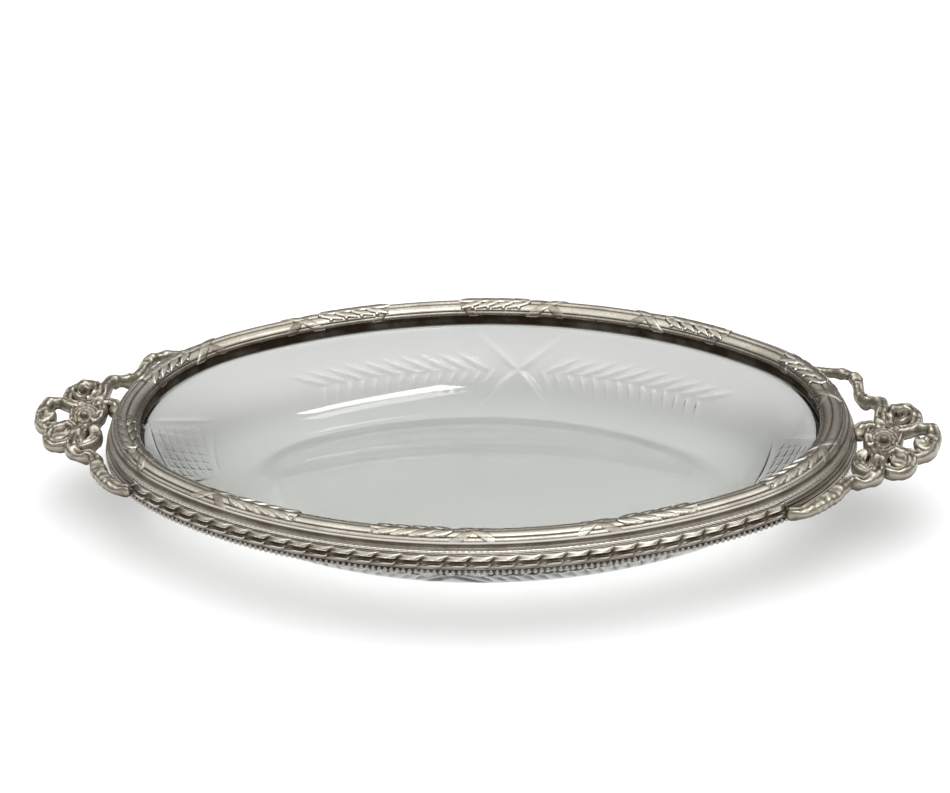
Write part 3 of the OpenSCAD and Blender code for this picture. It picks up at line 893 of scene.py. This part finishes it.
def bow_shapes():
    """The pieces of the right-hand bow, by name, from rows of x, y, z, width and thickness."""
    back_tail = [
        (147.8, 6, 30, 4.6, 4.6), (147.7, 13, 31.4, 4.8, 4.4), (147.9, 20, 32, 5.0, 4.4),
        (147.4, 25.5, 31.6, 4.8, 4.4), (144.4, 29.2, 30.6, 4.6, 4.6), (141.2, 31.4, 29.8, 4.2, 4.6),
        (139, 36, 29.8, 3.9, 4.0), (138.3, 42, 30.6, 4.0, 3.8), (136.8, 47, 31.4, 4.2, 3.8),
        (132.6, 50.6, 31.2, 3.8, 3.4), (127, 54, 30, 3.4, 3.2), (121.8, 55.6, 29.4, 3.2, 3.2),
        (116.2, 56, 29, 3.2, 3.2),
    ]
    front_tail = [
        (145.6, -9, 30.6, 4.4, 4.4), (148, -15, 31.4, 4.6, 4.8), (148.4, -22, 31.2, 5.0, 5.0),
        (147.6, -27.5, 30.4, 5.0, 4.8), (143.8, -30.8, 29.8, 4.2, 4.4), (139.4, -30.8, 29.6, 3.8, 4.2),
        (136.8, -34, 29.8, 4.8, 4.0), (134.6, -39.5, 30, 5.4, 4.0), (131, -45.5, 29.8, 5.2, 4.0),
        (127.2, -50, 29.4, 4.8, 3.8), (122.8, -53, 29, 4.2, 3.6), (117.8, -54.2, 28.8, 3.4, 3.2),
    ]
    outer_loop = [
        (153.6, 4.2, 30.4, 3.0, 3.8), (158, 5.8, 31, 3.4, 4.2), (162.4, 8, 31.2, 3.6, 4.2),
        (166.4, 7, 31, 4.2, 4.6), (167.4, 2.4, 30.4, 5.4, 5.2), (165.4, -3.6, 30, 7.2, 5.8),
        (164, -8.2, 29.8, 6.6, 5.6), (161, -11, 29.8, 4.6, 4.8), (157.4, -9.4, 30.2, 3.4, 4.2),
        (154.2, -7.4, 30.4, 3.0, 4.0), (151.4, -5.4, 30, 2.8, 3.6),
    ]
    outer_turn = [
        (163.6, -1.5, 30.6, 3.4, 4.0), (162.4, -5.2, 31.8, 4.6, 4.8), (164.6, -8.4, 31.6, 3.6, 4.0),
        (166.4, -5, 31.4, 2.6, 3.4),
    ]
    back_loop = [
        (150.6, 13, 30.4, 4.2, 4.8), (151.2, 19.6, 30.8, 4.2, 5.0), (154.6, 22.8, 31, 4.4, 5.0),
        (158.6, 20.8, 30.8, 4.8, 5.0), (160.4, 15.4, 30.6, 5.0, 5.2), (159.8, 9.4, 30.6, 4.6, 5.0),
        (156.4, 6.2, 30.6, 4.2, 4.8), (152.4, 8, 30.4, 4.0, 4.6),
    ]
    back_curl = [
        (153.4, 19.6, 30.6, 2.6, 3.6), (156.6, 18.6, 31.6, 3.0, 4.2), (157.8, 13.8, 32, 3.2, 4.6),
        (155.6, 10.4, 31.8, 3.2, 4.4), (153.8, 12.8, 31.2, 2.8, 3.8),
    ]
    front_loop = [
        (149.6, -20.6, 30.2, 3.6, 4.4), (153.6, -23.8, 29.8, 3.8, 4.2), (158, -22.2, 29.8, 3.8, 4.2),
        (160, -17, 30.2, 4.0, 4.4), (157.8, -11.6, 30.6, 3.8, 4.4), (153.4, -10.2, 30.8, 3.6, 4.4),
        (150, -14.4, 30.6, 3.4, 4.4),
    ]
    front_fill = [
        (154.2, -10.8, 30.2, 6.0, 3.2), (155.6, -14, 30.4, 7.2, 3.4), (156, -17.6, 30.2, 6.6, 3.2),
        (155.8, -20.6, 29.8, 4.6, 2.8),
    ]
    knot_inner = [
        (146.8, 8.2, 29.8, 4.6, 4.8), (144.6, 4, 30.6, 3.6, 5.0), (144, -1.6, 30.6, 3.6, 5.0),
        (145.4, -7.6, 30, 4.4, 4.8),
    ]
    knot_outer = [
        (150.6, 8.2, 29.8, 4.0, 4.4), (154, 4.6, 30.4, 3.4, 4.6), (154.8, -1, 30.4, 3.2, 4.6),
        (152.8, -7, 29.8, 3.8, 4.4),
    ]
    inner_fold = [
        (146.4, -12.4, 30.6, 4.0, 4.4), (142.8, -13.8, 30.8, 4.4, 4.8), (141.2, -18.4, 30.4, 4.8, 5.0),
        (142.4, -23.4, 30, 4.6, 4.8), (145.4, -24.8, 30.2, 4.2, 4.6), (147, -19, 30.6, 4.0, 4.8),
    ]
    strut = [
        (138.6, 5.6, 29.6, 4.2, 3.6), (140.8, 8.8, 30, 4.6, 4.0), (144, 10.6, 30.2, 4.2, 4.2),
        (147.2, 9, 30, 3.8, 4.0),
    ]
    return {
        "knot": joined([
            ball((149.8, 1.4, BOW_Z + 0.3), (5.4, 6.4, 3.6), 0.05, 9),
            ribbon(knot_inner, 31),
            ribbon(knot_outer, 37),
        ]),
        "rosette": rosette((149.7, -2.4, BOW_Z + 2.4)),
        "strut": joined([ribbon(strut, 43), ball((140.2, 6.4, BOW_Z + 0.8), (3.2, 3.4, 2.6), 0.03, 5)]),
        "outer_loop": joined([ribbon(outer_loop, 3, 8), ribbon(outer_turn, 5, -10)]),
        "front_loop": joined([ribbon(front_loop, 7, -6, closed=True), ribbon(front_fill, 9, ridges=5)]),
        "back_loop": joined([ribbon(back_loop, 11, 8, closed=True), ribbon(back_curl, 13)]),
        "front_tail": joined([
            ribbon(front_tail, 17, 6, ribs=(38, 53)),
            ribbon(inner_fold, 19, 10, closed=True, ridges=3),
        ]),
        "back_tail": ribbon(back_tail, 23, -6, ribs=(38, 50)),
    }


def bows():
    """Both bows: the left one is the right one mirrored."""
    for side, mirror in (("right", 1), ("left", -1)):
        for part, (verts, faces) in bow_shapes().items():
            shape = (verts * [mirror, 1, 1], faces)
            # Faces that look down get painted shade.
            make_piece(f"{side}_{part}_cast", shape, CAST_SILVER, [f"{side}_{part}"],
                       crease=70, wear_rounds=4, under=0.85)


# ---- the stage ----
def dress_cad_nodes():
    """The nodes whose shape is right keep it and get a finish."""
    finishes = {"rim_bedding": PLASTER}
    for name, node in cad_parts.items():
        if node.hide_render:
            continue
        node.data.materials.clear()
        node.data.materials.append(finishes.get(name, PLAIN_SILVER))


def floor():
    """The pale floor that the tray stands on."""
    material, nodes, links, shader = node_material("pale_floor")
    tone = ramp(nodes, links, noise(nodes, links, 3, 3), (0.3, 0.90), (0.7, 0.915))
    links.new(tone, shader.inputs["Base Color"])
    shader.inputs["Roughness"].default_value = 0.8
    mesh = bpy.data.meshes.new("floor")
    half = 6.0
    corners = [(-half, -half, 0), (half, -half, 0), (half, half, 0), (-half, half, 0)]
    mesh.from_pydata(corners, [], [(0, 1, 2, 3)])
    mesh.materials.append(material)
    plane = bpy.data.objects.new("floor", mesh)
    bpy.context.scene.collection.objects.link(plane)


def soft_light(name, position, target, width, height, watts):
    """A broad lamp that casts no shadow."""
    lamp = bpy.data.lights.new(name, "AREA")
    lamp.shape = "RECTANGLE"
    lamp.size, lamp.size_y = width, height
    lamp.energy = watts
    lamp.use_shadow = False
    lamp_object = bpy.data.objects.new(name, lamp)
    lamp_object.location = position
    lamp_object.rotation_euler = (Vector(target) - Vector(position)).to_track_quat("-Z", "Y").to_euler()
    bpy.context.scene.collection.objects.link(lamp_object)


def studio():
    """Soft light from above, dimmer towards the horizon, so that upright metal reads darker than its top."""
    world = bpy.data.worlds.new("studio")
    bpy.context.scene.world = world
    world.use_nodes = True
    nodes, links = world.node_tree.nodes, world.node_tree.links
    height = nodes.new("ShaderNodeSeparateXYZ")
    links.new(nodes.new("ShaderNodeTexCoord").outputs["Generated"], height.inputs["Vector"])
    sky = ramp(nodes, links, height.outputs["Z"],
               (0.0, 0.05), (0.42, 0.10), (0.60, 0.32), (0.84, 0.74), (1.0, 0.88))
    links.new(sky, nodes["Background"].inputs["Color"])
    nodes["Background"].inputs["Strength"].default_value = 2.6
    soft_light("key", (0.14, -0.10, 1.25), (0, 0, 0), 0.55, 0.12, 2.8)
    soft_light("back", (-0.7, 0.9, 0.9), (0, 0, 0), 0.9, 0.6, 0.5)
    bpy.context.scene.view_settings.view_transform = "Standard"


def camera():
    """The photograph's view: a little to the right of the front, from 29 degrees up, and tilted."""
    azimuth, elevation, roll = math.radians(10.81), math.radians(29), math.radians(-3.29)
    distance, aim = 1.1, Vector((0, 0, 0.0435))
    back = Vector((math.sin(azimuth) * math.cos(elevation), -math.cos(azimuth) * math.cos(elevation),
                   math.sin(elevation)))
    position = back * distance
    forward = (aim - position).normalized()
    right = forward.cross(Vector((0, 0, 1))).normalized()
    up = right.cross(forward)
    turned_right = right * math.cos(roll) + up * math.sin(roll)
    turned_up = up * math.cos(roll) - right * math.sin(roll)
    data = bpy.data.cameras.new("camera")
    data.sensor_width = 36
    data.lens = 111.06
    data.clip_start, data.clip_end = 0.05, 30
    view = bpy.data.objects.new("camera", data)
    turned = Matrix((turned_right, turned_up, -forward)).transposed().to_4x4()
    view.matrix_world = Matrix.Translation(position) @ turned
    bpy.context.scene.collection.objects.link(view)
    bpy.context.scene.camera = view


glass_dish()
reeded_rim()
for number in range(TIE_COUNT):
    ribbon_tie(number)
cove_wall()
milled_wire()
cable_band("front_cable_band", 0)
cable_band("back_cable_band", 2)
end_band("right_end_band", 1)
end_band("left_end_band", 3)
bead_row()
bows()
dress_cad_nodes()
floor()
studio()
camera()
